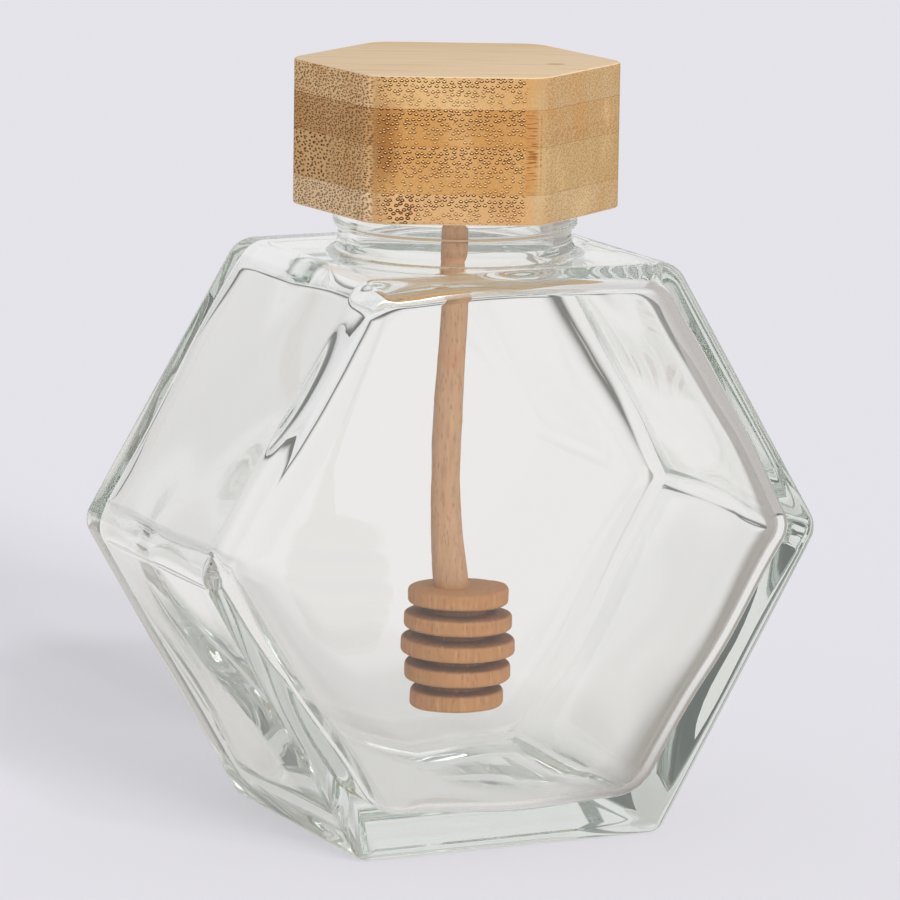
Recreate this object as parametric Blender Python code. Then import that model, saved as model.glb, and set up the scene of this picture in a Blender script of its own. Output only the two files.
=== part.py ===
"""Hexagonal glass honey pot with a bamboo lid and a wooden honey dipper.

Units are metres, +Z is up.  The origin is at the middle of the flat base, +X runs
along the width of the hexagon and -Y is the front hexagonal face.  The jar is a
hexagonal prism lying on one of its flat sides, with a round neck on the top side.
"""
import math

import bmesh
import bpy
from mathutils import Vector

# ---- glass jar, outside -----------------------------------------------------
SHOULDER_HEIGHT = 0.0970      # flat top side, which carries the neck
MID_HEIGHT = 0.0505           # height of the two side corners
BASE_HALF_WIDTH = 0.0276
MID_HALF_WIDTH = 0.0568
TOP_HALF_WIDTH = 0.0288
JAR_DEPTH = 0.0548            # front hexagon to back hexagon
BASE_CORNER_RADIUS = 0.0028   # hexagon corners, seen from the front
MID_CORNER_RADIUS = 0.0046
TOP_CORNER_RADIUS = 0.0052
FACE_EDGE_RADIUS = 0.0034     # all round both hexagonal faces

# ---- glass jar, inside ------------------------------------------------------
FLOOR_THICKNESS = 0.0065
SHOULDER_WALL = 0.0028
WALL_INSETS = (0.0070, 0.0040, 0.0032)       # sideways, at the floor, middle and ceiling
CAVITY_CORNER_RADII = (0.0090, 0.0050, 0.0050)

# the hollow narrows in a soft curve where it meets the front and back walls
FACE_WALL = 0.0027
FACE_EDGE_DEPTH = 0.0035                     # how far from those walls the curve begins
FACE_INSETS = (0.0200, 0.0150, 0.0090)
FACE_FLOOR = 0.0125
FACE_SHOULDER = 0.0050

# ---- neck -------------------------------------------------------------------
NECK_RADIUS = 0.01965
NECK_FILLET = 0.0022          # outer sweep from the neck to the shoulder
BEAD_RADIUS = 0.0205
BEAD_HEIGHT = 0.0030          # ring round the mouth
RIM_HEIGHT = 0.1042
RIM_ROUNDING = 0.0008
BORE_RADIUS = 0.0165
BORE_FLARE = 0.0025           # rounding from the bore into the hollow

# ---- lid --------------------------------------------------------------------
LID_CIRCUMRADIUS = 0.0279
LID_HEIGHT = 0.0244
LID_CORNER_RADIUS = 0.0052
LID_EDGE_RADIUS = 0.0005
LID_YAW = math.radians(-25.3)  # the lid's sides aren't in line with the jar's
TOUCH_GAP = 0.0003             # between pieces that touch

# ---- dipper -----------------------------------------------------------------
ROD_RADIUS = 0.00225
ROD_FOOT_RADIUS = 0.00325      # where the rod grows into the head
ROD_FLARE_HEIGHT = 0.0190      # length of the thicker foot
ROD_BOW = 0.0014               # the hand-turned rod is a little crooked
HEAD_OFFSET = 0.0009           # the head sits slightly off the rod's line
LEAN_YAW = math.radians(-25.3)
HEAD_BOTTOM = 0.0192
DISC_RADII = (0.0081, 0.0093, 0.01005, 0.0095, 0.00885)   # bottom to top
DISC_PITCH = 0.0045
DISC_THICKNESS = 0.0029
DISC_ROUNDING = 0.0007
CORE_RADIUS = 0.0052

# ---- fineness ---------------------------------------------------------------
CORNER_STEPS = 5
EDGE_STEPS = 5
NECK_STEPS = 64
DIPPER_STEPS = 32
ROD_RINGS = 14


def clear_scene():
    for thing in list(bpy.data.objects):
        bpy.data.objects.remove(thing, do_unlink=True)


def rounded_outline(corners, inset):
    """Points round a convex polygon of (u, v, radius) corners, moved inwards by inset."""
    count = len(corners)
    points = []
    for i, (u, v, radius) in enumerate(corners):
        here = Vector((u, v))
        before = Vector(corners[i - 1][:2])
        after = Vector(corners[(i + 1) % count][:2])
        way_in = (here - before).normalized()
        way_out = (after - here).normalized()
        normal_in = Vector((way_in.y, -way_in.x))
        normal_out = Vector((way_out.y, -way_out.x))
        turn = normal_in.angle(normal_out)
        bisector = (normal_in + normal_out).normalized()
        vertex = here - bisector * (inset / math.cos(turn / 2))
        left = max(radius - inset, 0.0003)
        centre = vertex - bisector * (left / math.cos(turn / 2))
        start = math.atan2(normal_in.y, normal_in.x)
        for k in range(CORNER_STEPS + 1):
            angle = start + turn * k / CORNER_STEPS
            points.append(centre + left * Vector((math.cos(angle), math.sin(angle))))
    return points


def loft(rings):
    """Closed mesh through equal rings of 3-D points, both ends filled."""
    bm = bmesh.new()
    rows = [[bm.verts.new(p) for p in ring] for ring in rings]
    count = len(rows[0])
    for lower, upper in zip(rows, rows[1:]):
        for i in range(count):
            j = (i + 1) % count
            bm.faces.new((lower[i], lower[j], upper[j], upper[i]))
    bm.faces.new(rows[0][::-1])
    bm.faces.new(rows[-1])
    bmesh.ops.recalc_face_normals(bm, faces=bm.faces)
    return bm


def edge_profile(low, high, radius):
    """(inset, place) pairs that round both ends of an extrusion from low to high."""
    quarter = [math.pi / 2 * k / EDGE_STEPS for k in range(EDGE_STEPS + 1)]
    start = [(radius * (1 - math.sin(a)), low + radius * (1 - math.cos(a))) for a in quarter]
    end = [(inset, high + low - place) for inset, place in reversed(start)]
    return start + end


def turned(profile, steps):
    """Solid of revolution about Z from (radius, height) points, axis to axis."""
    bm = bmesh.new()
    verts = [bm.verts.new((radius, 0, height)) for radius, height in profile]
    edges = [bm.edges.new(pair) for pair in zip(verts, verts[1:])]
    bmesh.ops.spin(
        bm, geom=verts + edges, cent=(0, 0, 0), axis=(0, 0, 1), angle=2 * math.pi, steps=steps,
    )
    bmesh.ops.remove_doubles(bm, verts=bm.verts, dist=1e-6)
    bmesh.ops.recalc_face_normals(bm, faces=bm.faces)
    return bm


def arc(centre, radius, start_degrees, end_degrees, steps=5):
    """(radius, height) points on a quarter or half circle in a turned profile."""
    points = []
    for k in range(steps + 1):
        angle = math.radians(start_degrees + (end_degrees - start_degrees) * k / steps)
        points.append((centre[0] + radius * math.cos(angle), centre[1] + radius * math.sin(angle)))
    return points


def add_object(name, bm, material=None, smooth_angle=35):
    mesh = bpy.data.meshes.new(name)
    bm.to_mesh(mesh)
    bm.free()
    mesh.shade_smooth()
    mesh.set_sharp_from_angle(angle=math.radians(smooth_angle))
    piece = bpy.data.objects.new(name, mesh)
    bpy.context.collection.objects.link(piece)
    if material:
        mesh.materials.append(material)
    else:
        piece.hide_render = True
        piece.display_type = "WIRE"
    return piece


def surface(name, colour, roughness, metallic=0.0, transmission=0.0):
    material = bpy.data.materials.new(name)
    material.use_nodes = True
    shader = material.node_tree.nodes["Principled BSDF"]
    shader.inputs["Base Color"].default_value = (*colour, 1)
    shader.inputs["Roughness"].default_value = roughness
    shader.inputs["Metallic"].default_value = metallic
    shader.inputs["Transmission Weight"].default_value = transmission
    return material


def cut_or_join(piece, other, operation):
    modifier = piece.modifiers.new(other.name, "BOOLEAN")
    modifier.operation = operation
    modifier.solver = "EXACT"
    modifier.object = other


def hexagon_prism(corners, depth, edge_radius):
    """Prism along Y with the hexagon in XZ and rounded front and back edges."""
    rings = []
    for inset, y in edge_profile(-depth / 2, depth / 2, edge_radius):
        rings.append([(u, y, v) for u, v in rounded_outline(corners, inset)])
    return loft(rings)


def mirrored(levels):
    """Six corners, anticlockwise from the lower right, of three (half width, height, radius)."""
    right = list(levels)
    left = [(-half, height, radius) for half, height, radius in reversed(levels)]
    return right + left


def outer_corners():
    return mirrored([
        (BASE_HALF_WIDTH, 0.0, BASE_CORNER_RADIUS),
        (MID_HALF_WIDTH, MID_HEIGHT, MID_CORNER_RADIUS),
        (TOP_HALF_WIDTH, SHOULDER_HEIGHT, TOP_CORNER_RADIUS),
    ])


def half_width_at(height):
    """Outer half width of the hexagon at a height."""
    if height < MID_HEIGHT:
        return BASE_HALF_WIDTH + (MID_HALF_WIDTH - BASE_HALF_WIDTH) * height / MID_HEIGHT
    share = (height - MID_HEIGHT) / (SHOULDER_HEIGHT - MID_HEIGHT)
    return MID_HALF_WIDTH + (TOP_HALF_WIDTH - MID_HALF_WIDTH) * share


def cavity_corners(insets, floor, shoulder):
    heights = (floor, MID_HEIGHT, SHOULDER_HEIGHT - shoulder)
    levels = []
    for inset, height, radius in zip(insets, heights, CAVITY_CORNER_RADII):
        levels.append((half_width_at(height) - inset, height, radius))
    return mirrored(levels)


def hollow():
    """Inside of the jar, blending between a wide outline and a narrow one at each end."""
    wide = rounded_outline(cavity_corners(WALL_INSETS, FLOOR_THICKNESS, SHOULDER_WALL), 0)
    narrow = rounded_outline(cavity_corners(FACE_INSETS, FACE_FLOOR, FACE_SHOULDER), 0)
    half = JAR_DEPTH / 2 - FACE_WALL
    rings = []
    for inset, y in edge_profile(-half, half, FACE_EDGE_DEPTH):
        outline = [a.lerp(b, inset / FACE_EDGE_DEPTH) for a, b in zip(wide, narrow)]
        rings.append([(u, y, v) for u, v in outline])
    return loft(rings)


def neck_outside():
    """Neck with its foot sweep and the bead round the mouth."""
    sunk = SHOULDER_HEIGHT - 0.003
    step = 0.0001             # the sweep ends just above the flat shoulder
    sweep_centre = (NECK_RADIUS + NECK_FILLET, SHOULDER_HEIGHT + NECK_FILLET + step)
    bead_low = RIM_HEIGHT - BEAD_HEIGHT
    bead_out = BEAD_RADIUS - NECK_RADIUS
    profile = [(0, sunk), (sweep_centre[0], sunk)]
    profile += arc(sweep_centre, NECK_FILLET, 270, 180)
    profile += [(NECK_RADIUS, bead_low - 0.0004)]
    profile += arc((NECK_RADIUS, bead_low + bead_out), bead_out, -75, 0, 4)
    profile += arc(
        (BEAD_RADIUS - RIM_ROUNDING, RIM_HEIGHT - RIM_ROUNDING), RIM_ROUNDING, 0, 90, 4,
    )
    profile += [(0, RIM_HEIGHT)]
    return turned(profile, NECK_STEPS)


def neck_bore():
    """Cutter for the mouth, rounded at the rim and where it opens into the hollow."""
    ceiling = SHOULDER_HEIGHT - SHOULDER_WALL
    flare_radius = BORE_RADIUS + BORE_FLARE
    step = 0.0001
    profile = [(0, ceiling - 0.004), (flare_radius, ceiling - 0.004)]
    profile += arc((flare_radius, ceiling + BORE_FLARE - step), BORE_FLARE, 270, 180)
    profile += arc(
        (BORE_RADIUS + RIM_ROUNDING, RIM_HEIGHT - RIM_ROUNDING + step), RIM_ROUNDING, 180, 90, 4,
    )
    profile += [(BORE_RADIUS + RIM_ROUNDING, RIM_HEIGHT + 0.002), (0, RIM_HEIGHT + 0.002)]
    return turned(profile, NECK_STEPS)


def make_jar():
    glass = surface("clear_glass", (0.93, 0.97, 0.95), 0.03, transmission=1.0)
    jar = add_object("glass_jar", hexagon_prism(outer_corners(), JAR_DEPTH, FACE_EDGE_RADIUS), glass)
    neck = add_object("neck_blank", neck_outside())
    inside = add_object("hollow_cutter", hollow())
    bore = add_object("bore_cutter", neck_bore())
    cut_or_join(jar, neck, "UNION")
    cut_or_join(jar, inside, "DIFFERENCE")
    cut_or_join(jar, bore, "DIFFERENCE")


def make_lid():
    bamboo = surface("bamboo", (0.62, 0.42, 0.22), 0.55)
    corners = []
    for k in range(6):
        angle = LID_YAW + math.radians(60 * k)
        corners.append((
            LID_CIRCUMRADIUS * math.cos(angle),
            LID_CIRCUMRADIUS * math.sin(angle),
            LID_CORNER_RADIUS,
        ))
    bottom = RIM_HEIGHT + TOUCH_GAP
    rings = []
    for inset, z in edge_profile(bottom, bottom + LID_HEIGHT, LID_EDGE_RADIUS):
        rings.append([(u, v, z) for u, v in rounded_outline(corners, inset)])
    add_object("bamboo_lid", loft(rings), bamboo)


def circle(radius, centre, z):
    points = []
    for k in range(DIPPER_STEPS):
        angle = 2 * math.pi * k / DIPPER_STEPS
        points.append((centre.x + radius * math.cos(angle), centre.y + radius * math.sin(angle), z))
    return points


def head_rings(centre):
    """Rings of the grooved head, bottom to top."""
    rings = []
    turn = [math.radians(a) for a in (-90, -45, 0)]
    for i, radius in enumerate(DISC_RADII):
        low = HEAD_BOTTOM + i * DISC_PITCH
        high = low + DISC_THICKNESS
        inner = radius - DISC_ROUNDING
        if i:
            rings.append(circle(CORE_RADIUS, centre, low))
        for a in turn:
            out = inner + DISC_ROUNDING * math.cos(a)
            rings.append(circle(out, centre, low + DISC_ROUNDING * (1 + math.sin(a))))
        for a in reversed(turn):
            out = inner + DISC_ROUNDING * math.cos(a)
            rings.append(circle(out, centre, high - DISC_ROUNDING * (1 + math.sin(a))))
        if i < len(DISC_RADII) - 1:
            rings.append(circle(CORE_RADIUS, centre, high))
    return rings


def make_dipper():
    wood = surface("turned_wood", (0.55, 0.36, 0.22), 0.6)
    lean = Vector((math.cos(LEAN_YAW), math.sin(LEAN_YAW)))
    rings = head_rings(lean * HEAD_OFFSET)
    foot = HEAD_BOTTOM + (len(DISC_RADII) - 1) * DISC_PITCH + DISC_THICKNESS
    top = RIM_HEIGHT          # the lid's underside is one touch gap above
    for k in range(ROD_RINGS + 1):
        z = foot + (top - foot) * k / ROD_RINGS
        down = (top - z) / (top - foot)
        bow = lean * (-ROD_BOW * math.sin(math.pi * down ** 2))
        thick = max(0.0, 1 - (z - foot) / ROD_FLARE_HEIGHT)
        rings.append(circle(ROD_RADIUS + (ROD_FOOT_RADIUS - ROD_RADIUS) * thick, bow, z))
    add_object("wooden_dipper", loft(rings), wood)


clear_scene()
make_jar()
make_lid()
make_dipper()
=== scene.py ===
import math

import bmesh
import bpy
from mathutils import Matrix, Vector, noise


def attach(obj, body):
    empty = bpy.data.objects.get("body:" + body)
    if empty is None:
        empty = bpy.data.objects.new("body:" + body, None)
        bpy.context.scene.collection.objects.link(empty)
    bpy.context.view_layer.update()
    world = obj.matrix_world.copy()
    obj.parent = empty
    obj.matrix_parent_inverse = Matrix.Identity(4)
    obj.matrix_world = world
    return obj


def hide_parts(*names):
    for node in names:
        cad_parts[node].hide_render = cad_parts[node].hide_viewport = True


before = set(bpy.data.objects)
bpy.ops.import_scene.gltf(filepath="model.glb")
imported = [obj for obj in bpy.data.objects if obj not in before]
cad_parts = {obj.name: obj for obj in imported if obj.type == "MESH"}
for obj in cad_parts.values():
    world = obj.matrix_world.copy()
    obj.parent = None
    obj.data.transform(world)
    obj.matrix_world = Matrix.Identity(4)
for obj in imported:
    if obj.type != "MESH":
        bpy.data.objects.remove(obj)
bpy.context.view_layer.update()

mm = 0.001
sharpFrom = math.radians(40)          # creases steeper than this are shaded sharp


def paint(red, green, blue):
    # a screen colour, 0 to 255, as the linear colour the shaders take
    linear = []
    for value in (red, green, blue):
        share = value / 255
        linear.append(share / 12.92 if share <= 0.04045 else ((share + 0.055) / 1.055) ** 2.4)
    return (*linear, 1.0)


class Wire:
    # a node's output that can be written into plain arithmetic
    def __init__(self, graph, socket):
        self.graph = graph
        self.socket = socket

    def __add__(self, other):
        return self.graph.maths("ADD", self, other)

    def __radd__(self, other):
        return self.graph.maths("ADD", other, self)

    def __sub__(self, other):
        return self.graph.maths("SUBTRACT", self, other)

    def __rsub__(self, other):
        return self.graph.maths("SUBTRACT", other, self)

    def __mul__(self, other):
        return self.graph.maths("MULTIPLY", self, other)

    def __rmul__(self, other):
        return self.graph.maths("MULTIPLY", other, self)

    def __truediv__(self, other):
        return self.graph.maths("DIVIDE", self, other)

    def __pow__(self, other):
        return self.graph.maths("POWER", self, other)

    def __neg__(self):
        return self.graph.maths("MULTIPLY", self, -1.0)

    def __abs__(self):
        return self.graph.maths("ABSOLUTE", self)

    def above(self, limit):
        return self.graph.maths("GREATER_THAN", self, limit)

    def below(self, limit):
        return self.graph.maths("LESS_THAN", self, limit)


class Graph:
    # one node tree, for a material or for geometry
    def __init__(self, tree):
        self.tree = tree

    def add(self, kind, settings=None, values=None):
        node = self.tree.nodes.new(kind)
        for name, value in (settings or {}).items():
            if name == "stops":
                self.setStops(node.color_ramp, value)
            elif name == "items":
                while len(node.index_switch_items) < value:
                    node.index_switch_items.new()
            elif name == "fields":
                for field in value:
                    node.capture_items.new("FLOAT", field)
            else:
                setattr(node, name, value)
        for key, value in (values or {}).items():
            if isinstance(value, Wire):
                self.tree.links.new(value.socket, node.inputs[key])
            else:
                node.inputs[key].default_value = value
        return Made(self, node)

    def setStops(self, ramp, stops):
        # a ramp that steps from one stop to the next
        ramp.interpolation = "CONSTANT"
        while len(ramp.elements) < len(stops):
            ramp.elements.new(1.0)
        for element, (place, colour) in zip(ramp.elements, stops):
            element.position = place
            element.color = colour

    def maths(self, operation, *values):
        numbered = dict(enumerate(values))
        return self.add("ShaderNodeMath", {"operation": operation}, numbered)["Value"]

    def between(self, value, low, high):
        # 0 at low, 1 at high, eased between
        return self.add("ShaderNodeMapRange", {"interpolation_type": "SMOOTHSTEP"}, {
            "Value": value, "From Min": low, "From Max": high,
        })["Result"]

    def blend(self, share, first, second):
        # the colour sockets of a Mix node are the seventh and eighth, its colour output the third
        return self.add("ShaderNodeMix", {"data_type": "RGBA"}, {
            0: share, 6: first, 7: second,
        })[2]

    def vector(self, operation, first, second):
        slots = {0: first, ("Scale" if operation == "SCALE" else 1): second}
        return self.add("ShaderNodeVectorMath", {"operation": operation}, slots)["Vector"]

    def length(self, vector):
        return self.add("ShaderNodeVectorMath", {"operation": "LENGTH"}, {0: vector})["Value"]

    def join(self, x, y, z=0.0):
        return self.add("ShaderNodeCombineXYZ", None, {0: x, 1: y, 2: z})["Vector"]

    def split(self, vector, axis=None):
        parts = self.add("ShaderNodeSeparateXYZ", None, {0: vector})
        return parts[axis] if axis else (parts["X"], parts["Y"])

    def noise(self, place, size, detail, stretch=(1.0, 1.0, 1.0)):
        # a noise whose blobs are size long, stretched along each axis
        scaled = self.vector("MULTIPLY", place, [1 / (size * share) for share in stretch])
        return self.add("ShaderNodeTexNoise", None, {
            "Vector": scaled, "Scale": 1.0, "Detail": detail, "Roughness": 0.55,
        })["Fac"]

    def dot(self, vector, direction):
        return self.add("ShaderNodeVectorMath", {"operation": "DOT_PRODUCT"}, {
            0: vector, 1: direction,
        })["Value"]


class Made:
    # a finished node, whose outputs are read by name or number
    def __init__(self, graph, node):
        self.graph = graph
        self.node = node

    def __getitem__(self, key):
        return Wire(self.graph, self.node.outputs[key])


def newMaterial(name):
    material = bpy.data.materials.new(name)
    material.use_nodes = True
    material.node_tree.nodes.clear()
    return material, Graph(material.node_tree)


def finishSurface(graph, shader, volume=None):
    links = {"Surface": shader}
    if volume:
        links["Volume"] = volume
    graph.add("ShaderNodeOutputMaterial", None, links)


# the camera, about a metre from the pot and a little above it
view = {
    "place": Vector((-0.4357, -0.9049, 0.2489)),
    "yaw": math.radians(25.695),      # turned towards +X from straight along +Y
    "pitch": math.radians(10.495),    # looking down
    "roll": math.radians(0.862),
    "lens": 243.0,
}


def makeCamera():
    level = Vector((math.sin(view["yaw"]), math.cos(view["yaw"]), 0))
    forward = level * math.cos(view["pitch"]) - Vector((0, 0, math.sin(view["pitch"])))
    side = forward.cross(Vector((0, 0, 1))).normalized()
    up = side.cross(forward)
    cosine = math.cos(view["roll"])
    sine = math.sin(view["roll"])
    right = side * cosine + up * sine
    top = up * cosine - side * sine
    data = bpy.data.cameras.new("studioCamera")
    data.lens = view["lens"]
    data.sensor_width = 36.0
    data.clip_end = 20.0
    camera = bpy.data.objects.new("studioCamera", data)
    axes = Matrix((right, top, -forward)).transposed()
    camera.matrix_world = Matrix.Translation(view["place"]) @ axes.to_4x4()
    bpy.context.scene.collection.objects.link(camera)
    bpy.context.scene.camera = camera


makeCamera()
print("camera set")


# the paper floor, the soft light and what stands round the set
studio = {
    "floorReach": 8.0,
    "floorPlain": (0.806, 0.798, 0.846, 1.0),         # the lilac paper as the camera sees it
    "floorThrough": (0.875, 0.865, 0.85, 1.0),        # whiter under the glass
    "floorBeside": (0.42, 0.39, 0.36, 1.0),           # painted shade, a greyer strip along one side of the jar, seen only in the glass
    "besideTowards": (0.755, -0.655, 0.0),
    "besideFades": (18 * mm, 36 * mm),
    "besideBehind": (-40 * mm, -20 * mm),
    "floorFar": (0.13, 0.13, 0.12, 1.0),              # and dark where the light doesn't reach
    "farTowards": (0.995, 0.10, 0.0),
    "farFades": (400 * mm, 900 * mm),
    "backdrop": (228, 227, 233),      # behind the floor, where a low camera looks past it
    "skyTop": (0.74, 0.74, 0.74, 1.0),
    "skyLow": (0.60, 0.60, 0.605, 1.0),
    "skyTopFrom": 0.7,                # sine of the height where the sky is brightest
    "boxTowards": (0.0, -0.20, 0.98),
    "boxFades": (0.86, 0.97),         # cosines of the angle from its middle
    "boxColour": (2.2, 2.2, 2.2, 1.0),
    "keyFrom": math.radians(-86),     # compass angle the key light comes from
    "keySpread": math.radians(5),
    "keyLights": (                    # height in degrees and strength of each lamp
        (5, 0.42),
        (10, 0.50),
        (16, 0.55),
        (26, 0.50),
        (45, 0.40),
    ),
}

# a white card and grey flags round the set, with the cosines between which they fade in
cards = (
    {"towards": (0.10, 0.80, 0.58), "fades": (0.60, 0.90), "colour": (0.86, 0.86, 0.86, 1.0)},
    {"towards": (-0.62, 0.75, 0.24), "fades": (0.90, 0.99), "colour": (0.32, 0.32, 0.30, 1.0)},
    {"towards": (0.95, 0.10, 0.25), "fades": (0.60, 0.90), "colour": (0.52, 0.49, 0.47, 1.0)},
    {"towards": (-0.80, 0.55, 0.20), "fades": (0.72, 0.93), "colour": (0.16, 0.17, 0.16, 1.0)},
    {"towards": (0.12, -0.87, 0.48), "fades": (0.65, 0.95), "colour": (0.06, 0.065, 0.06, 1.0)},
)


def makeFloor():
    reach = studio["floorReach"]
    bpy.ops.mesh.primitive_plane_add(size=2 * reach, location=(0, 0, 0))
    floor = bpy.context.object
    floor.name = "studioFloor"
    material, g = newMaterial("paperSweep")
    path = g.add("ShaderNodeLightPath")
    sharp = 1 - path["Is Diffuse Ray"]
    spot = g.add("ShaderNodeTexCoord")["Object"]
    far = g.between(g.dot(spot, studio["farTowards"]), *studio["farFades"])
    through = g.blend(far * sharp, studio["floorThrough"], studio["floorFar"])
    # painted shade beside the jar, which only the glass shows
    beside = g.between(g.dot(spot, studio["besideTowards"]), *studio["besideFades"])
    beside = beside * g.between(g.split(spot, "Y"), *studio["besideBehind"])
    through = g.blend(beside * sharp, through, studio["floorBeside"])
    colour = g.blend(path["Is Camera Ray"], through, studio["floorPlain"])
    shader = g.add("ShaderNodeBsdfPrincipled", None, {
        "Base Color": colour, "Roughness": 0.9, "Specular IOR Level": 0.0,
    })
    finishSurface(g, shader["BSDF"])
    floor.data.materials.append(material)


def makeSky():
    world = bpy.data.worlds.new("softStudio")
    world.use_nodes = True
    world.node_tree.nodes.clear()
    g = Graph(world.node_tree)
    path = g.add("ShaderNodeLightPath")
    sharp = 1 - path["Is Diffuse Ray"]     # the cards draw the glass edges, not the soft light
    direction = g.add("ShaderNodeTexCoord")["Generated"]
    height = g.split(direction, "Z")
    sky = g.blend(g.between(height, 0.0, studio["skyTopFrom"]), studio["skyLow"], studio["skyTop"])
    for card in cards:
        share = g.between(g.dot(direction, card["towards"]), *card["fades"])
        sky = g.blend(share * sharp, sky, card["colour"])
    box = g.between(g.dot(direction, studio["boxTowards"]), *studio["boxFades"])
    sky = g.blend(box * sharp, sky, studio["boxColour"])
    sky = g.blend(path["Is Camera Ray"], sky, paint(*studio["backdrop"]))
    background = g.add("ShaderNodeBackground", None, {"Color": sky, "Strength": 1.0})
    g.add("ShaderNodeOutputWorld", None, {"Surface": background["Background"]})
    world.cycles.sampling_method = "NONE"              # the sky is broad enough to be found by chance
    bpy.context.scene.world = world


def makeKeyLight():
    # a tall narrow light, as lamps one above another
    for height, power in studio["keyLights"]:
        key = bpy.data.lights.new("keyLight", "SUN")
        key.energy = power
        key.angle = studio["keySpread"]
        lamp = bpy.data.objects.new("keyLight", key)
        flat = math.cos(math.radians(height))
        towards = Vector((
            flat * math.cos(studio["keyFrom"]),
            flat * math.sin(studio["keyFrom"]),
            math.sin(math.radians(height)),
        ))
        lamp.rotation_euler = towards.to_track_quat("Z", "Y").to_euler()
        # the glass mirrors the soft box painted in the sky and not these small lamps
        lamp.visible_glossy = False
        lamp.visible_transmission = False
        bpy.context.scene.collection.objects.link(lamp)


makeFloor()
makeSky()
makeKeyLight()
bpy.context.scene.view_settings.view_transform = "Standard"
bpy.context.scene.cycles.max_bounces = 128         # glass corners send light round many times
bpy.context.scene.cycles.transmission_bounces = 128
bpy.context.scene.cycles.glossy_bounces = 128
print("studio set")


leastRounding = 0.3 * mm              # a corner moved far in keeps this radius


def roundedOutline(corners, inset, steps):
    # points round a convex polygon of (u, v, radius) corners, moved in by inset
    points = []
    for i, (u, v, radius) in enumerate(corners):
        here = Vector((u, v))
        wayIn = (here - Vector(corners[i - 1][:2])).normalized()
        wayOut = (Vector(corners[(i + 1) % len(corners)][:2]) - here).normalized()
        normalIn = Vector((wayIn.y, -wayIn.x))
        normalOut = Vector((wayOut.y, -wayOut.x))
        turn = normalIn.angle(normalOut)
        bisector = (normalIn + normalOut).normalized()
        left = max(radius - inset, leastRounding)
        centre = here - bisector * ((inset + left) / math.cos(turn / 2))
        start = math.atan2(normalIn.y, normalIn.x)
        for k in range(steps + 1):
            angle = start + turn * k / steps
            points.append(centre + left * Vector((math.cos(angle), math.sin(angle))))
    return points


def loft(rings):
    bm = bmesh.new()
    rows = [[bm.verts.new(p) for p in ring] for ring in rings]
    count = len(rows[0])
    for lower, upper in zip(rows, rows[1:]):
        for i in range(count):
            j = (i + 1) % count
            bm.faces.new((lower[i], lower[j], upper[j], upper[i]))
    bm.faces.new(rows[0][::-1])
    bm.faces.new(rows[-1])
    bmesh.ops.recalc_face_normals(bm, faces=bm.faces)
    return bm


def edgeProfile(low, high, radius, steps):
    # (inset, place) pairs that round both ends of an extrusion
    quarter = [math.pi / 2 * k / steps for k in range(steps + 1)]
    start = [(radius * (1 - math.sin(a)), low + radius * (1 - math.cos(a))) for a in quarter]
    return start + [(inset, high + low - place) for inset, place in reversed(start)]


def turned(profile, steps):
    bm = bmesh.new()
    verts = [bm.verts.new((radius, 0, height)) for radius, height in profile]
    edges = [bm.edges.new(pair) for pair in zip(verts, verts[1:])]
    bmesh.ops.spin(
        bm, geom=verts + edges, cent=(0, 0, 0), axis=(0, 0, 1), angle=2 * math.pi, steps=steps,
    )
    bmesh.ops.remove_doubles(bm, verts=bm.verts, dist=1e-6)
    bmesh.ops.recalc_face_normals(bm, faces=bm.faces)
    return bm


def arc(centre, radius, start, end, steps=10):
    points = []
    for k in range(steps + 1):
        angle = math.radians(start + (end - start) * k / steps)
        points.append((centre[0] + radius * math.cos(angle), centre[1] + radius * math.sin(angle)))
    return points


def placeMesh(name, bm, materials):
    mesh = bpy.data.meshes.new(name)
    bm.to_mesh(mesh)
    bm.free()
    for material in materials:
        mesh.materials.append(material)
    piece = bpy.data.objects.new(name, mesh)
    bpy.context.scene.collection.objects.link(piece)
    return piece


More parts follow.
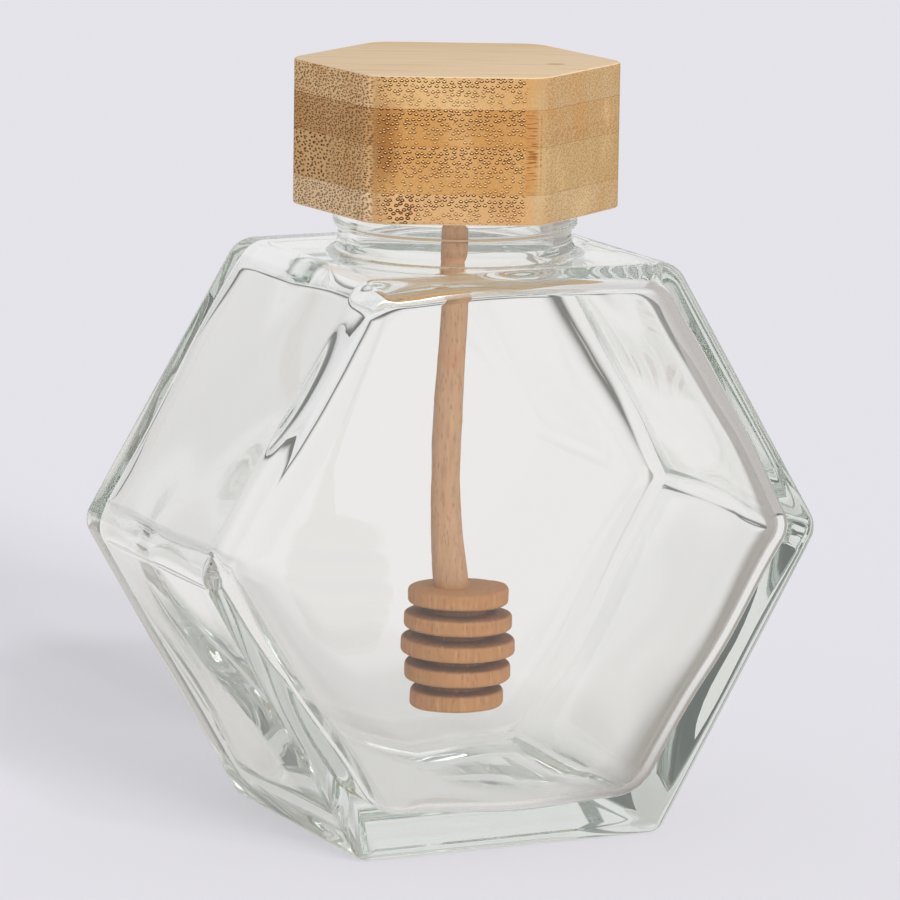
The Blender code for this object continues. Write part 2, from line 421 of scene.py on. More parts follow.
# a six-sided jar of clear glass lying on one side, with a round neck
jar = {
    "height": 97.0 * mm,
    "midHeight": 50.5 * mm,
    "halfWidths": (27.6 * mm, 56.8 * mm, 28.8 * mm),      # base, middle, top
    "depth": 54.8 * mm,
    "cornerRadii": (2.8 * mm, 4.6 * mm, 5.2 * mm),
    "faceEdge": 3.4 * mm,
    "faceWall": 2.7 * mm,
    "floor": 6.5 * mm,
    "shoulderWall": 2.8 * mm,
    "wallInsets": (7.0 * mm, 4.0 * mm, 3.2 * mm),         # half way through the depth
    "hollowCorners": (9.0 * mm, 5.0 * mm, 5.0 * mm),
    "faceInsets": (20.0 * mm, 15.0 * mm, 9.0 * mm),        # at the front and back walls
    "faceFloor": 12.5 * mm,
    "faceShoulder": 5.0 * mm,
    "hollowEdge": 3.5 * mm,
    "depthSteps": 12,
    "wavePitch": 2.8 * mm,            # the waves on the inside wall
    "waveSize": 26.0 * mm,
    "waveDepth": 1.6 * mm,
    "waveSeed": 14.8,
    "faceDent": 0.35,                 # share of the waves on the front and back walls
    "faceSteps": 10,
    "frontSeed": 7.7,
    "backSeed": 11.3,
    "neckRadius": 19.65 * mm,
    "neckFillet": 2.2 * mm,
    "beadRadius": 20.5 * mm,
    "beadHeight": 3.0 * mm,
    "beadUndercut": 0.4 * mm,
    "rimHeight": 104.2 * mm,
    "rimRounding": 0.8 * mm,
    "boreRadius": 16.5 * mm,
    "boreFlare": 2.5 * mm,
    "neckDepth": 3.0 * mm,            # how far the neck and the bore reach into the body
    "boreDepth": 4.0 * mm,
    "boreAbove": 2.0 * mm,
    "sweepGap": 0.02 * mm,            # the sweeps end just clear of the flats they run into
    "cornerSteps": 14,
    "edgeSteps": 12,
    "turnSteps": 160,
    "ior": 1.52,
    "tint": (0.75, 0.80, 0.765, 1.0),
    "tintDensity": 13.0,              # per metre of glass
    "lampPass": (0.74, 0.75, 0.75, 1.0),
    "skyPass": (0.985, 0.985, 0.985, 1.0),
    "rippleSize": 24.0 * mm,
    "rippleIn": 0.25 * mm,            # unevenness of the inside wall
    "rippleOut": 0.02 * mm,
}


def glassMaterial():
    material, g = newMaterial("clearGlass")
    place = g.add("ShaderNodeTexCoord")["Object"]
    inner = g.add("ShaderNodeAttribute", {"attribute_name": "inner"})["Fac"]
    broad = g.add("ShaderNodeTexNoise", None, {
        "Vector": place, "Scale": 1 / jar["rippleSize"], "Detail": 1.5, "Roughness": 0.4,
    })["Fac"]
    depth = jar["rippleOut"] / jar["rippleIn"]
    ripple = broad * (inner * (1 - depth) + depth)
    bump = g.add("ShaderNodeBump", None, {
        "Height": ripple, "Strength": 1.0, "Distance": jar["rippleIn"],
    })["Normal"]
    clear = g.add("ShaderNodeBsdfPrincipled", None, {
        "Base Color": (1, 1, 1, 1), "Roughness": 0.0, "IOR": jar["ior"],
        "Transmission Weight": 1.0, "Normal": bump,
    })["BSDF"]
    # lamps and the floor's own light pass straight through, so the shadow stays soft
    path = g.add("ShaderNodeLightPath")
    lamp = g.add("ShaderNodeBsdfTransparent", None, {"Color": jar["lampPass"]})["BSDF"]
    sky = g.add("ShaderNodeBsdfTransparent", None, {"Color": jar["skyPass"]})["BSDF"]
    shader = g.add("ShaderNodeMixShader", None, {0: path["Is Shadow Ray"], 1: clear, 2: lamp})
    shader = g.add("ShaderNodeMixShader", None, {
        0: path["Is Diffuse Ray"], 1: shader["Shader"], 2: sky,
    })
    green = g.add("ShaderNodeVolumeAbsorption", None, {
        "Color": jar["tint"], "Density": jar["tintDensity"],
    })
    finishSurface(g, shader["Shader"], green["Volume"])
    return material


def sixCorners(levels):
    return list(levels) + [(-half, height, radius) for half, height, radius in reversed(levels)]


def outerCorners():
    heights = (0.0, jar["midHeight"], jar["height"])
    return sixCorners(list(zip(jar["halfWidths"], heights, jar["cornerRadii"])))


def halfWidthAt(height):
    base, middle, top = jar["halfWidths"]
    if height < jar["midHeight"]:
        return base + (middle - base) * height / jar["midHeight"]
    share = (height - jar["midHeight"]) / (jar["height"] - jar["midHeight"])
    return middle + (top - middle) * share


def hollowCorners(insets, low, high):
    heights = (low, jar["midHeight"], jar["height"] - high)
    levels = []
    for height, inset, radius in zip(heights, insets, jar["hollowCorners"]):
        levels.append((halfWidthAt(height) - inset, height, radius))
    return sixCorners(levels)


def prism(corners, depth, edge):
    rings = []
    for inset, y in edgeProfile(-depth / 2, depth / 2, edge, jar["edgeSteps"]):
        outline = roundedOutline(corners, inset, jar["cornerSteps"])
        rings.append([(u, y, v) for u, v in outline])
    return loft(rings)


def wave(place, seed):
    offset = Vector((seed, 0, 0))
    return noise.noise(offset + Vector(place) / jar["waveSize"]) * jar["waveDepth"]


def waved(point, y):
    # a point of the inside wall, moved in or out by the wave there
    out = (point - Vector((0, jar["midHeight"]))).normalized()
    return point + out * wave((point.x, y, point.y), jar["waveSeed"])


def shortSteps(wide, narrow):
    # both outlines cut alike into steps short enough for the waves to bend
    finerWide = []
    finerNarrow = []
    for k in range(len(wide)):
        j = (k + 1) % len(wide)
        run = (wide[j].lerp(narrow[j], 0.5) - wide[k].lerp(narrow[k], 0.5)).length
        steps = 1 + int(run / jar["wavePitch"])
        for step in range(steps):
            finerWide.append(wide[k].lerp(wide[j], step / steps))
            finerNarrow.append(narrow[k].lerp(narrow[j], step / steps))
    return finerWide, finerNarrow


def hollowFace(outline, y, seed):
    # rings from the middle of the hollow's front or back face to its edge, faintly dented
    centre = Vector((0, jar["midHeight"]))
    outwards = math.copysign(1, y)
    rings = []
    for k in range(1, jar["faceSteps"]):
        share = k / jar["faceSteps"]
        ring = []
        for point in outline:
            u, v = centre + (waved(point, y) - centre) * share
            dent = wave((u, 0, v), seed) * jar["faceDent"] * (1 - share ** 4)
            ring.append((u, y + outwards * dent, v))
        rings.append(ring)
    return rings


def hollow():
    # thicker glass towards the front and back, most of all low down, and wavy all over
    wide = hollowCorners(jar["wallInsets"], jar["floor"], jar["shoulderWall"])
    narrow = hollowCorners(jar["faceInsets"], jar["faceFloor"], jar["faceShoulder"])
    wide = roundedOutline(wide, 0, jar["cornerSteps"])
    narrow = roundedOutline(narrow, 0, jar["cornerSteps"])
    wide, narrow = shortSteps(wide, narrow)
    half = jar["depth"] / 2 - jar["faceWall"]
    edge = jar["hollowEdge"]
    rounds = edgeProfile(-half, half, edge, jar["edgeSteps"])
    steps = jar["depthSteps"]
    level = [(0, (edge - half) + 2 * (half - edge) * k / steps) for k in range(1, steps)]
    frontRounds = rounds[:len(rounds) // 2]
    backRounds = rounds[len(rounds) // 2:]
    rings = []
    for inset, y in frontRounds + level + backRounds:
        points = [waved(a.lerp(b, inset / edge), y) for a, b in zip(wide, narrow)]
        rings.append([(point.x, y, point.y) for point in points])
    front = hollowFace(narrow, -half, jar["frontSeed"])
    back = hollowFace(narrow, half, jar["backSeed"])
    return loft(front + rings + back[::-1])


def neckOutside():
    out = jar["beadRadius"] - jar["neckRadius"]
    beadLow = jar["rimHeight"] - jar["beadHeight"]
    foot = jar["height"] - jar["neckDepth"]
    fillet = jar["neckFillet"]
    sweep = (jar["neckRadius"] + fillet, jar["height"] + fillet + jar["sweepGap"])
    rim = jar["rimRounding"]
    profile = [(0, foot), (sweep[0], foot)]
    profile += arc(sweep, fillet, 270, 180)
    profile += [(jar["neckRadius"], beadLow - jar["beadUndercut"])]
    profile += arc((jar["neckRadius"], beadLow + out), out, -75, 0)
    profile += arc((jar["beadRadius"] - rim, jar["rimHeight"] - rim), rim, 0, 90)
    profile += [(0, jar["rimHeight"])]
    return turned(profile, jar["turnSteps"])


def neckBore():
    ceiling = jar["height"] - jar["shoulderWall"]
    foot = ceiling - jar["boreDepth"]
    above = jar["rimHeight"] + jar["boreAbove"]
    flare = jar["boreFlare"]
    wide = jar["boreRadius"] + flare
    rim = jar["rimRounding"]
    gap = jar["sweepGap"]
    profile = [(0, foot), (wide, foot)]
    profile += arc((wide, ceiling + flare - gap), flare, 270, 180)
    profile += arc((jar["boreRadius"] + rim, jar["rimHeight"] - rim + gap), rim, 180, 90)
    profile += [(jar["boreRadius"] + rim, above), (0, above)]
    return turned(profile, jar["turnSteps"])


def bake(piece):
    # the evaluated shape becomes the piece's own plain mesh
    graph = bpy.context.evaluated_depsgraph_get()
    mesh = bpy.data.meshes.new_from_object(piece.evaluated_get(graph))
    piece.modifiers.clear()
    piece.data = mesh
    return mesh


def markInside(mesh):
    # 1 on the faces of the hollow and the bore, 0 on the outside
    flags = [float(face.material_index) for face in mesh.polygons]
    for face in mesh.polygons:
        face.material_index = 0
    inner = mesh.attributes.new("inner", "FLOAT", "FACE")
    inner.data.foreach_set("value", flags)


def makeJar():
    glass = glassMaterial()
    body = prism(outerCorners(), jar["depth"], jar["faceEdge"])
    piece = placeMesh("glassJar", body, [glass, glass])
    helpers = []
    for name, bm, operation, slot in (
        ("neckBlank", neckOutside(), "UNION", 0),
        ("hollow", hollow(), "DIFFERENCE", 1),
        ("bore", neckBore(), "DIFFERENCE", 1),
    ):
        helper = placeMesh(name, bm, [glass, glass])
        for face in helper.data.polygons:
            face.material_index = slot
        cut = piece.modifiers.new(name, "BOOLEAN")
        cut.operation = operation
        cut.solver = "EXACT"
        cut.object = helper
        helpers.append(helper)
    mesh = bake(piece)
    for helper in helpers:
        bpy.data.objects.remove(helper, do_unlink=True)
    markInside(mesh)
    while len(mesh.materials) > 1:
        mesh.materials.pop()
    mesh.shade_smooth()
    mesh.set_sharp_from_angle(angle=sharpFrom)
    even = piece.modifiers.new("even", "WEIGHTED_NORMAL")
    even.keep_sharp = True
    even.weight = 100
    bake(piece)
    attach(piece, "root")
    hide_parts("glass_jar")
    print("jar", len(piece.data.polygons), "faces")


makeJar()


# a hexagonal block of four glued bamboo plies, turned out of line with the jar
lid = {
    "radius": 27.9 * mm,              # to the sharp corners
    "low": 104.5 * mm,
    "height": 24.4 * mm,
    "corner": 5.2 * mm,
    "edge": 0.5 * mm,
    "turn": math.radians(-25.3),
    "cornerSteps": 12,
    "edgeSteps": 5,
    "sideLength": 27.3 * mm,          # along a side, with its share of the rounded corners
    "skin": 0.2 * mm,                 # depth that counts as the top or the underside
    "roughness": 0.62,
    # the plies, foot first: where each starts, as a share of the height, and its colours
    "plyLows": (0.0, 0.21, 0.53, 0.78, 1.0),
    "sideFront": ((195, 155, 109), (186, 141, 88), (181, 133, 78), (196, 158, 109)),
    "sideLeft": ((232, 198, 158), (212, 170, 120), (196, 150, 100), (224, 184, 137)),
    "sideRight": ((181, 154, 116), (176, 147, 104), (175, 143, 101), (178, 151, 113)),
    "glue": (120, 76, 38),
    "cloudSize": 9.0 * mm,
    "cloudDark": (178, 120, 58),
    "cloudPale": (226, 190, 142),
    "fibreSize": 0.22 * mm,
    "fibreDark": (126, 84, 44),
    "fibrePale": (240, 208, 164),
    # painted shade at the front left corner, darkest in the middle plies
    "scorchAt": (2.07, 0.55),         # corners passed on the way round, share of the height
    "scorch": (132, 84, 40),
    # the pores: across and upward distance from one to the next
    "poreWide": 1.00 * mm,
    "poreTall": 0.78 * mm,
    "boldWide": 1.20 * mm,
    "boldTall": 0.56 * mm,
    "fineWide": 0.84 * mm,
    "fineTall": 0.40 * mm,
    # the front pores: a dark rim, partly their own colour and partly painted shade, and a painted
    # highlight
    "pore": (84, 38, 2),
    "poreShine": (255, 228, 170),
    "poreLeft": (74, 38, 6),
    "poreRight": (128, 86, 44),
    "poreDepth": 0.05 * mm,
    "blotAt": (2.17, 0.17),           # the same for a patch of dark pores, up to that height
    "dabAt": 0.585,
    "dabSize": 0.55 * mm,
    "dab": (148, 98, 54),
    "cornerBrown": (176, 122, 66),
    "streakSize": 0.34 * mm,
    "streak": (132, 78, 30),
    # the top, a single ply
    "top": (221, 196, 162),
    "topDark": (186, 150, 108),
    "topPale": (230, 212, 186),
    "topGrain": 1.5 * mm,
    "topBack": (212, 172, 120),
    "topBackFades": (9.0 * mm, 24.0 * mm),
    "knot": (150, 100, 62),
    "knotAt": (16.2 * mm, -4.9 * mm, 0.0),            # along and across the grain
    "knotFades": (0.9 * mm, 0.3 * mm),
}


def lidCorners():
    corners = []
    for k in range(6):
        angle = lid["turn"] + math.radians(60 * (k + 2))       # the seam lies at the back
        x = lid["radius"] * math.cos(angle)
        y = lid["radius"] * math.sin(angle)
        corners.append((x, y, lid["corner"]))
    return corners


def mapSides(bm, count, steps):
    # first coordinate: corners passed on the way round, second: share of the height
    layer = bm.loops.layers.uv.new("sides")
    bm.verts.ensure_lookup_table()
    places = []
    bend = lid["corner"] * math.pi / 3
    flat = lid["radius"] - 2 * lid["corner"] * math.tan(math.pi / 6)
    # what a rounded corner takes of the way from one corner to the next
    bendShare = bend / (bend + flat)
    for i in range(count + 1):
        corner, step = divmod(i, steps + 1)
        places.append(corner + (step / steps - 0.5) * bendShare)
    for face in bm.faces:
        if len(face.verts) > 4:
            continue
        wraps = {vert.index % count for vert in face.verts} == {0, count - 1}
        for loop in face.loops:
            i = loop.vert.index % count
            if wraps and i == 0:
                i = count
            share = (loop.vert.co.z - lid["low"]) / lid["height"]
            loop[layer].uv = (places[i], share)


def pores(g, spot, wide, tall, scatter):
    # one pore to a cell, each row half a pore further on than the row below it;
    # gives the distance from its middle, the sideways and upward parts and a random value
    x, y = g.split(spot)
    y = y / tall
    lattice = g.join(x / wide + y * 0.5, y)
    cells = g.add("ShaderNodeTexVoronoi", {"voronoi_dimensions": "2D"}, {
        "Vector": lattice, "Scale": 1.0, "Randomness": scatter,
    })
    aside, rise = g.split(g.vector("SUBTRACT", lattice, cells["Position"]))
    aside = aside - rise * 0.5
    luck = g.add("ShaderNodeSeparateColor", None, {0: cells["Color"]})["Red"]
    return g.length(g.join(aside, rise)), aside, rise, luck


def plyColour(g, share, colours):
    stops = [(low, paint(*colour)) for low, colour in zip(lid["plyLows"], colours)]
    return g.add("ShaderNodeValToRGB", {"stops": stops}, {0: share})["Color"]


def heightInPly(g, share):
    # 0 at the foot of each ply and 1 at its head
    lows = lid["plyLows"]
    stops = [(low, (low, high - low, 0, 1)) for low, high in zip(lows, lows[1:])]
    ply = g.add("ShaderNodeValToRGB", {"stops": stops}, {0: share})["Color"]
    ply = g.add("ShaderNodeSeparateColor", None, {0: ply})
    return (share - ply["Red"]) / ply["Green"]


def leftSide(g, third):
    return g.between(third, 0.97, 1.03) * g.between(third, 2.03, 1.97)


def plies(g, third, share, cloud):
    isFront = g.between(third, 1.96, 2.03) * g.between(third, 3.0, 2.90)
    side = plyColour(g, share, lid["sideRight"])
    side = g.blend(leftSide(g, third), side, plyColour(g, share, lid["sideLeft"]))
    side = g.blend(isFront, side, plyColour(g, share, lid["sideFront"]))

    # broad honey and brown clouds, and painted shade beside the front left corner
    side = g.blend(g.between(cloud, 0.45, 0.75) * 0.35, side, paint(*lid["cloudDark"]))
    side = g.blend(g.between(cloud, 0.48, 0.25) * 0.30, side, paint(*lid["cloudPale"]))
    around, height = lid["scorchAt"]
    corner = g.between(abs(third - around), 0.13, 0.0)
    middle = g.between(abs(share - height), 0.36, 0.10)
    return g.blend(corner * (middle * 0.60 + 0.12), side, paint(*lid["scorch"]))


def upFibres(g, side, spot):
    # fine upright fibre everywhere
    fibre = g.noise(spot, lid["fibreSize"], 3.0, stretch=(1.0, 2.6, 1.0))
    side = g.blend(g.between(fibre, 0.50, 0.80) * 0.42, side, paint(*lid["fibreDark"]))
    side = g.blend(g.between(fibre, 0.46, 0.22) * 0.30, side, paint(*lid["fibrePale"]))
    return side, fibre


def frontPores(g, side, third, share, spot, level):
    # large open pores: a dark cup and a dark speck above it, the pore's own dark rim with painted
    # shade of the pit, and a painted highlight in the middle
    far, aside, rise, luck = pores(g, spot, lid["poreWide"], lid["poreTall"], 0.55)
    ends = g.between(third, 2.0, 2.04) * g.between(third, 2.925, 2.89)
    strong = 0.60 + 0.40 * g.between(level, 0.10, 0.80)
    kept = g.between(luck - level * 0.60, 0.62, 0.54) * ends      # fewer low in a ply
    narrow = g.between(abs(aside), 0.22, 0.08)
    cup = g.between(far, 0.41, 0.34) * g.between(far, 0.12, 0.20) * g.between(rise, 0.12, -0.04)
    speck = g.between(abs(rise - 0.26), 0.16, 0.06) * narrow
    # a patch of wide dark ones low down near the left corner
    around, top = lid["blotAt"]
    blot = g.between(abs(third - around), 0.11, 0.05) * g.between(share, top + 0.04, top)
    blot = blot * g.between(far, 0.44, 0.30)
    rim = g.maths("MINIMUM", (cup + speck) * strong * kept + blot * 0.8, 1.0)
    highlight = g.between(abs(rise - 0.03), 0.12, 0.04) * narrow * kept
    side = g.blend(rim, side, paint(*lid["pore"]))
    return g.blend(highlight * 0.62, side, paint(*lid["poreShine"])), rim


def finePores(g, side, third, share, spot):
    # small dense pores on the left side, larger and bolder in part of one ply
    near = g.between(abs(share - 0.37), 0.175, 0.155) * g.between(third, 1.62, 1.42)
    fineFar, _, _, fineLuck = pores(g, spot, lid["fineWide"], lid["fineTall"], 0.80)
    boldFar, _, _, boldLuck = pores(g, spot, lid["boldWide"], lid["boldTall"], 0.80)
    fine = g.between(fineFar, 0.42, 0.24) * (0.60 + 0.40 * fineLuck)
    bold = g.between(boldFar, 0.38, 0.22) * (0.70 + 0.30 * boldLuck)
    left = (fine * 0.90 + (bold - fine * 0.90) * near) * leftSide(g, third)
    side = g.blend(left, side, paint(*lid["poreLeft"]))

    # faint ones on the right side, with a row of brown dabs above its middle
    isRight = g.between(third, 1.02, 0.98) * g.between(third, 0.0, 0.06)
    side = g.blend(fine * isRight * 0.44, side, paint(*lid["poreRight"]))
    dab = g.noise(spot, lid["dabSize"], 1.0, stretch=(1.0, 1.8, 1.0))
    dab = g.between(dab, 0.50, 0.60) * g.between(abs(share - lid["dabAt"]), 0.055, 0.035)
    return g.blend(dab * isRight * 0.42, side, paint(*lid["dab"])), left


def cornerStreaks(g, side, third, share, spot):
    # short level streaks where the front turns into the right side
    turn = g.between(third, 2.90, 2.925) * g.between(third, 3.0, 2.965)
    turn = turn + g.between(third, 0.02, 0.0)
    streak = g.noise(spot, lid["streakSize"], 1.0, stretch=(9.0, 1.0, 1.0))
    streak = g.between(streak, 0.50, 0.62)
    middle = g.between(abs(share - 0.50), 0.32, 0.20)
    side = g.blend(turn * (middle * 0.40 + 0.10), side, paint(*lid["cornerBrown"]))
    return g.blend(streak * turn * middle * 0.85, side, paint(*lid["streak"]))


def topColour(g, place):
    # long soft streaks along the grain, and one small knot
    cosine = math.cos(lid["turn"])
    sine = math.sin(lid["turn"])
    across = g.dot(place, (-sine, cosine, 0))
    flat = g.join(g.dot(place, (cosine, sine, 0)), across)
    grain = g.noise(flat, lid["topGrain"], 3.0, stretch=(16.0, 1.0, 1.0))
    top = g.blend(g.between(grain, 0.48, 0.72) * 0.38, paint(*lid["top"]), paint(*lid["topDark"]))
    top = g.blend(g.between(grain, 0.46, 0.28) * 0.30, top, paint(*lid["topPale"]))
    top = g.blend(g.between(across, *lid["topBackFades"]) * 0.35, top, paint(*lid["topBack"]))
    knot = g.vector("SUBTRACT", flat, lid["knotAt"])
    knot = g.length(g.vector("MULTIPLY", knot, (0.4, 1.0, 0.0)))
    return g.blend(g.between(knot, *lid["knotFades"]) * 0.75, top, paint(*lid["knot"]))


def bambooMaterial():
    material, g = newMaterial("laminatedBamboo")
    around, share = g.split(g.add("ShaderNodeUVMap", {"uv_map": "sides"})["UV"])
    place = g.add("ShaderNodeTexCoord")["Object"]
    third = g.maths("WRAP", around, 3.0, 0.0)          # 0 to 1 right, 1 to 2 left, 2 to 3 front
    spot = g.join(around * lid["sideLength"], share * lid["height"])
    level = heightInPly(g, share)
    cloud = g.noise(spot, lid["cloudSize"], 2.0, stretch=(1.0, 1.6, 1.0))
    side = plies(g, third, share, cloud)
    side, fibre = upFibres(g, side, spot)
    side, rim = frontPores(g, side, third, share, spot, level)
    side, left = finePores(g, side, third, share, spot)
    side = cornerStreaks(g, side, third, share, spot)
    glue = g.between(level, 0.985, 0.998) + g.between(level, 0.012, 0.003)
    side = g.blend(glue * 0.45, side, paint(*lid["glue"]))

    isTop = g.split(place, "Z").above(lid["low"] + lid["height"] - lid["skin"])
    isUnder = g.split(place, "Z").below(lid["low"] + lid["skin"])
    colour = g.blend(isTop + isUnder, side, topColour(g, place))
    height = (fibre * 0.12 - rim - left * 0.6) * (1 - isTop)
    bump = g.add("ShaderNodeBump", None, {
        "Height": height, "Strength": 0.8, "Distance": lid["poreDepth"],
    })["Normal"]
    shader = g.add("ShaderNodeBsdfPrincipled", None, {
        "Base Color": colour, "Roughness": lid["roughness"] + 0.14 * cloud, "Normal": bump,
        "Specular IOR Level": 0.12,
    })
    finishSurface(g, shader["BSDF"])
    return material


def makeLid():
    rings = []
    top = lid["low"] + lid["height"]
    for inset, z in edgeProfile(lid["low"], top, lid["edge"], lid["edgeSteps"]):
        outline = roundedOutline(lidCorners(), inset, lid["cornerSteps"])
        rings.append([(u, v, z) for u, v in outline])
    bm = loft(rings)
    bm.verts.index_update()
    mapSides(bm, len(rings[0]), lid["cornerSteps"])
    piece = placeMesh("bambooLid", bm, [bambooMaterial()])
    piece.data.shade_smooth()
    piece.data.set_sharp_from_angle(angle=sharpFrom)
    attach(piece, "root")
    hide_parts("bamboo_lid")
    print("lid", len(piece.data.polygons), "faces")


makeLid()


# a turned beech rod with a head of five discs, its stem cut slightly crooked
dipper = {
    "headLow": 19.2 * mm,
    "discRadii": (8.1 * mm, 9.3 * mm, 10.05 * mm, 9.5 * mm, 8.85 * mm),   # bottom to top
    "pitch": 4.5 * mm,
    "thickness": 2.9 * mm,
    "rounding": 0.7 * mm,
    "core": 5.2 * mm,
    "rod": 2.25 * mm,
    "foot": 3.25 * mm,
    "footLength": 19.0 * mm,
    "bow": 1.4 * mm,
    "headOffset": 0.9 * mm,
    "lean": math.radians(-25.3),
    "top": 104.2 * mm,
    "rings": 860,
    "sides": 88,
    "hair": 0.02 * mm,                # slack where a height is tested against an edge
    "wobble": 0.10 * mm,              # unevenness left by hand sanding
    "wobbleSize": 5.0 * mm,
    "rodColour": (190, 148, 112),
    "discColour": (182, 128, 78),
    "headFades": (42.0 * mm, 39.8 * mm),
    # painted shade in the grooves between the discs
    "grooveColour": (120, 76, 44),
    "grooveFades": (2.45 * mm, 2.95 * mm),            # heights within the pitch
    "grooveEnds": (38.2 * mm, 37.8 * mm),
    "grainSize": 0.7 * mm,
    "grainDark": (150, 104, 70),
    "grainPale": (216, 178, 138),
    "warmSize": 5.0 * mm,
    "warm": (190, 122, 82),
    "fleckSize": (0.42 * mm, 0.42 * mm, 2.1 * mm),
    "fleck": (116, 72, 46),
    "reliefDepth": 0.08 * mm,
    "roughness": 0.60,
}


def beechMaterial():
    material, g = newMaterial("turnedBeech")
    place = g.add("ShaderNodeTexCoord")["Object"]
    z = g.split(place, "Z")
    isHead = g.between(z, *dipper["headFades"])
    colour = g.blend(isHead, paint(*dipper["rodColour"]), paint(*dipper["discColour"]))
    # painted shade in the four grooves, from the flat of the disc below to the disc above
    rise = g.maths("FRACT", (z - dipper["headLow"]) / dipper["pitch"]) * dipper["pitch"]
    shadeInGrooves = g.between(rise, *dipper["grooveFades"]) * g.between(z, *dipper["grooveEnds"])
    colour = g.blend(shadeInGrooves * 0.85, colour, paint(*dipper["grooveColour"]))

    grain = g.noise(place, dipper["grainSize"], 3.0, stretch=(1.0, 1.0, 7.0))
    colour = g.blend(g.between(grain, 0.50, 0.78) * 0.50, colour, paint(*dipper["grainDark"]))
    colour = g.blend(g.between(grain, 0.48, 0.24) * 0.30, colour, paint(*dipper["grainPale"]))
    warm = g.noise(place, dipper["warmSize"], 2.0)
    colour = g.blend(g.between(warm, 0.5, 0.75) * 0.35, colour, paint(*dipper["warm"]))
    # short dark pores lying along the grain
    thin = g.vector("MULTIPLY", place, [1 / size for size in dipper["fleckSize"]])
    flecks = g.add("ShaderNodeTexVoronoi", None, {"Vector": thin, "Scale": 1.0})["Distance"]
    fleck = g.between(flecks, 0.30, 0.14)
    colour = g.blend(fleck * 0.45, colour, paint(*dipper["fleck"]))

    bump = g.add("ShaderNodeBump", None, {
        "Height": grain * 0.6 - fleck * 0.5, "Strength": 0.6, "Distance": dipper["reliefDepth"],
    })["Normal"]
    shader = g.add("ShaderNodeBsdfPrincipled", None, {
        "Base Color": colour, "Roughness": dipper["roughness"] + 0.2 * grain, "Normal": bump,
        "Specular IOR Level": 0.3,
    })
    finishSurface(g, shader["BSDF"])
    return material


def headRadius(g, given, z):
    # which disc a height belongs to, and how far up inside its pitch
    pitch = given["Pitch"]
    thick = given["Disc Thickness"]
    edge = given["Disc Rounding"]
    last = len(dipper["discRadii"]) - 1
    rise = z - given["Foot Height"]
    number = g.maths("FLOOR", rise / pitch + 0.0001)       # with slack for rounding
    number = g.maths("MINIMUM", number, last)
    local = rise - number * pitch
    radii = {str(k): radius for k, radius in enumerate(dipper["discRadii"])}
    disc = g.add("GeometryNodeIndexSwitch", {"data_type": "FLOAT", "items": len(radii)}, {
        "Index": number, **radii,
    })["Output"]
    toEdge = g.maths("MAXIMUM", abs(local - thick * 0.5) - thick * 0.5 + edge, 0.0) / edge
    toEdge = g.maths("MINIMUM", toEdge, 1.0)
    disc = disc - edge * (1 - (1 - toEdge * toEdge) ** 0.5)
    inDisc = local.below(thick + dipper["hair"])
    return given["Core Radius"] + (disc - given["Core Radius"]) * inDisc


def stemShape(g, given, z, headTop):
    # the radius, thicker where the stem meets the head, and the bow above it
    swell = g.maths("MAXIMUM", 1 - (z - headTop) / given["Stem Foot Length"], 0.0)
    radius = given["Stem Radius"] + (given["Stem Foot Radius"] - given["Stem Radius"]) * swell
    high = given["Top Height"]
    down = g.maths("MAXIMUM", (high - z) / (high - headTop), 0.0)
    return radius, -given["Bow"] * g.maths("SINE", down ** 2 * math.pi)


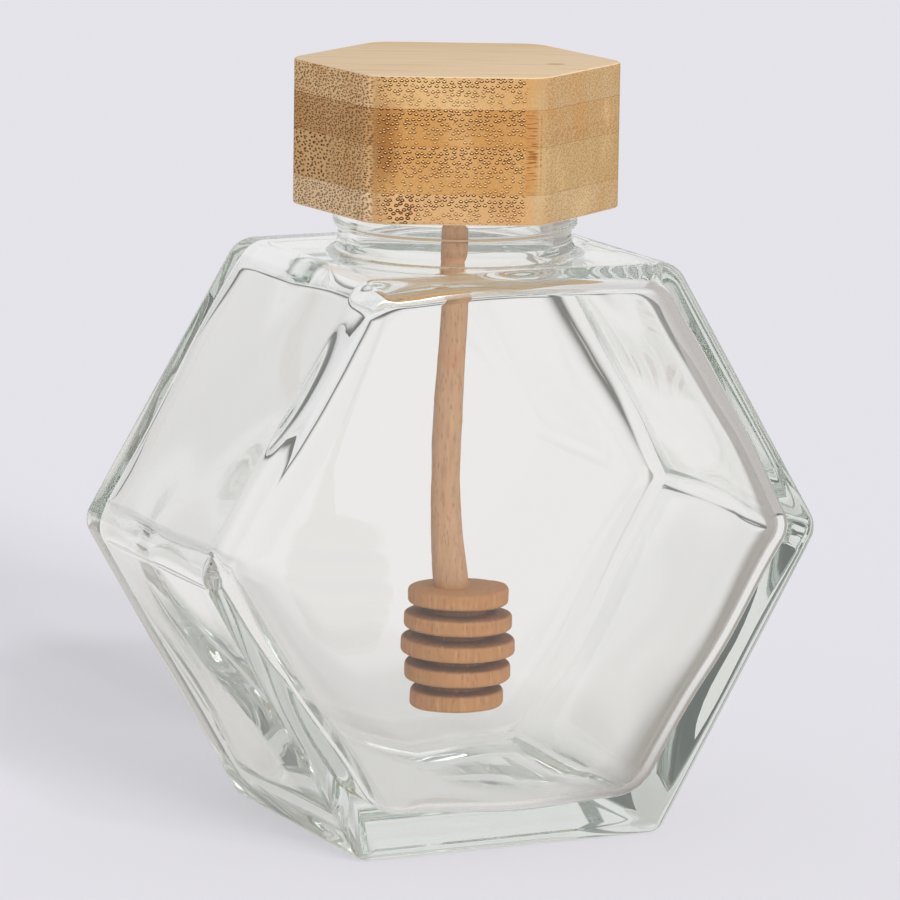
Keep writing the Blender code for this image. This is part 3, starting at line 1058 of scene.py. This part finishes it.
def dipperTree(material):
    # a straight line, given its turned radius point by point, swept into a solid and bent
    tree = bpy.data.node_groups.new("turnedDipper", "GeometryNodeTree")
    tree.interface.new_socket(name="Geometry", in_out="OUTPUT", socket_type="NodeSocketGeometry")
    values = {
        "Foot Height": dipper["headLow"],
        "Top Height": dipper["top"],
        "Pitch": dipper["pitch"],
        "Disc Thickness": dipper["thickness"],
        "Disc Rounding": dipper["rounding"],
        "Core Radius": dipper["core"],
        "Stem Radius": dipper["rod"],
        "Stem Foot Radius": dipper["foot"],
        "Stem Foot Length": dipper["footLength"],
        "Bow": dipper["bow"],
        "Head Offset": dipper["headOffset"],
        "Wobble": dipper["wobble"],
    }
    for name in values:
        tree.interface.new_socket(name=name, in_out="INPUT", socket_type="NodeSocketFloat")
    g = Graph(tree)
    given = g.add("NodeGroupInput")

    line = g.add("GeometryNodeCurvePrimitiveLine", None, {
        "Start": g.join(0.0, 0.0, given["Foot Height"]),
        "End": g.join(0.0, 0.0, given["Top Height"]),
    })["Curve"]
    line = g.add("GeometryNodeResampleCurve", None, {"Curve": line, "Count": dipper["rings"]})
    z = g.split(g.add("GeometryNodeInputPosition")["Position"], "Z")
    gaps = len(dipper["discRadii"]) - 1
    headTop = given["Foot Height"] + given["Pitch"] * gaps + given["Disc Thickness"]
    inHead = z.below(headTop + dipper["hair"])
    head = headRadius(g, given, z)
    stem, bow = stemShape(g, given, z, headTop)
    line = g.add("GeometryNodeCaptureAttribute", {"fields": ["radius", "shift"]}, {
        "Geometry": line["Curve"],
        "radius": stem + (head - stem) * inHead,
        "shift": bow + (given["Head Offset"] - bow) * inHead,
    })
    profile = g.add("GeometryNodeCurvePrimitiveCircle", None, {
        "Resolution": dipper["sides"], "Radius": 1.0,
    })["Curve"]
    solid = g.add("GeometryNodeCurveToMesh", None, {
        "Curve": line["Geometry"], "Profile Curve": profile, "Scale": line["radius"],
        "Fill Caps": True,
    })["Mesh"]
    lean = (math.cos(dipper["lean"]), math.sin(dipper["lean"]), 0)
    solid = g.add("GeometryNodeSetPosition", None, {
        "Geometry": solid, "Offset": g.vector("SCALE", lean, line["shift"]),
    })["Geometry"]

    # hand sanding: the surface wanders by a hair
    position = g.add("GeometryNodeInputPosition")["Position"]
    normal = g.add("GeometryNodeInputNormal")["Normal"]
    uneven = g.noise(position, dipper["wobbleSize"], 2.0) - 0.5
    solid = g.add("GeometryNodeSetPosition", None, {
        "Geometry": solid, "Offset": g.vector("SCALE", normal, uneven * given["Wobble"] * 2),
    })["Geometry"]
    solid = g.add("GeometryNodeSetShadeSmooth", None, {"Geometry": solid})["Geometry"]
    solid = g.add("GeometryNodeRealizeInstances", None, {"Geometry": solid})["Geometry"]
    solid = g.add("GeometryNodeSetMaterial", None, {"Geometry": solid, "Material": material})
    g.add("NodeGroupOutput", None, {"Geometry": solid["Geometry"]})
    return tree, values


def makeDipper():
    material = beechMaterial()
    piece = placeMesh("honeyDipper", bmesh.new(), [material])
    tree, values = dipperTree(material)
    turning = piece.modifiers.new("turning", "NODES")
    turning.node_group = tree
    for item in tree.interface.items_tree:
        if item.in_out == "INPUT":
            turning[item.identifier] = values[item.name]
    mesh = bake(piece)
    mesh.set_sharp_from_angle(angle=sharpFrom)
    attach(piece, "root")
    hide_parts("wooden_dipper")
    print("dipper", len(mesh.polygons), "faces")


makeDipper()
